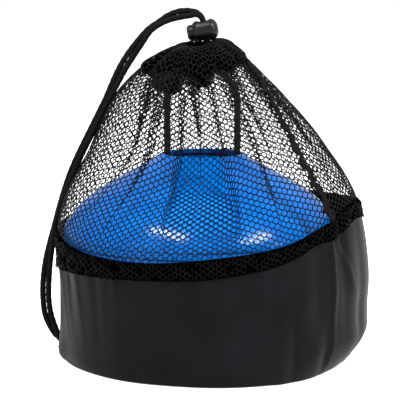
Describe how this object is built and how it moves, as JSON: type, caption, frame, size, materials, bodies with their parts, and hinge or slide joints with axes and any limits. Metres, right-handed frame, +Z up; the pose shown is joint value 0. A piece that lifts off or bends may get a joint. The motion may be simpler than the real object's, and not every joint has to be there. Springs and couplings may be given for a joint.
{
  "type": "disc cone set in a drawstring bag",
  "caption": "Nested saucer marker discs on a carrier with an arched handle, in a round drawstring bag with a cloth wall, a net top, a cord lock and a cord strap.",
  "frame": {"origin": "on the ground under the middle of the bag's lower part", "axes": "+Z up along the set's height, -Y to the front, +X to the right seen from the front; the cord strap hangs on the -X side"},
  "size_m": [0.2309, 0.2163, 0.24],
  "materials": {
    "coated_cloth": "satin",
    "doubled_net": "matte",
    "net": "matte",
    "cord": "matte",
    "carrier_plastic": "satin",
    "lock_plastic": "satin",
    "disc_plastic": "gloss",
    "spring_wire": "bright"
  },
  "bodies": {
    "bag": {"bag_base": "coated_cloth", "base_piping": "coated_cloth", "lower_wall": "coated_cloth", "hem_band": "doubled_net", "net_upper": "net", "net_side_seam": "doubled_net", "gathered_casing": "doubled_net", "drawcord_loop": "cord", "strap_cord_a": "cord", "strap_cord_b": "cord", "strap_bar_tack": "cord", "carrier_foot": "carrier_plastic", "carrier_handle": "carrier_plastic"},
    "disc_stack": {"disc_01": "disc_plastic", "disc_02": "disc_plastic", "disc_03": "disc_plastic", "disc_04": "disc_plastic", "disc_05": "disc_plastic", "disc_06": "disc_plastic", "disc_07": "disc_plastic", "disc_08": "disc_plastic", "disc_09": "disc_plastic", "disc_10": "disc_plastic", "disc_11": "disc_plastic", "disc_12": "disc_plastic", "disc_13": "disc_plastic", "disc_14": "disc_plastic", "disc_15": "disc_plastic", "disc_16": "disc_plastic", "disc_17": "disc_plastic"},
    "top_disc": {"disc_18": "disc_plastic"},
    "cord_lock": {"lock_body": "lock_plastic", "lock_spring": "spring_wire"},
    "lock_button": {"lock_plunger": "lock_plastic"}
  },
  "joints": [
    {"name": "stack_turn", "type": "hinge", "parent": "bag", "child": "disc_stack", "pos_m": [-0.0092, 0, 0.05], "axis": [0, 0, 1], "continuous": true},
    {"name": "top_disc_turn", "type": "hinge", "parent": "disc_stack", "child": "top_disc", "pos_m": [-0.0092, 0, 0.09], "axis": [0, 0, 1], "continuous": true},
    {"name": "lock_slide", "type": "slide", "parent": "bag", "child": "cord_lock", "axis": [-0.1736, 0, 0.9848], "range_m": [0, 0.0025]},
    {"name": "button_press", "type": "slide", "parent": "cord_lock", "child": "lock_button", "axis": [0.9848, 0, 0.1736], "range_m": [0, 0.0024], "stiffness_N_per_m": 900, "springref_m": -0.002, "deforming": ["lock_spring"]}
  ]
}
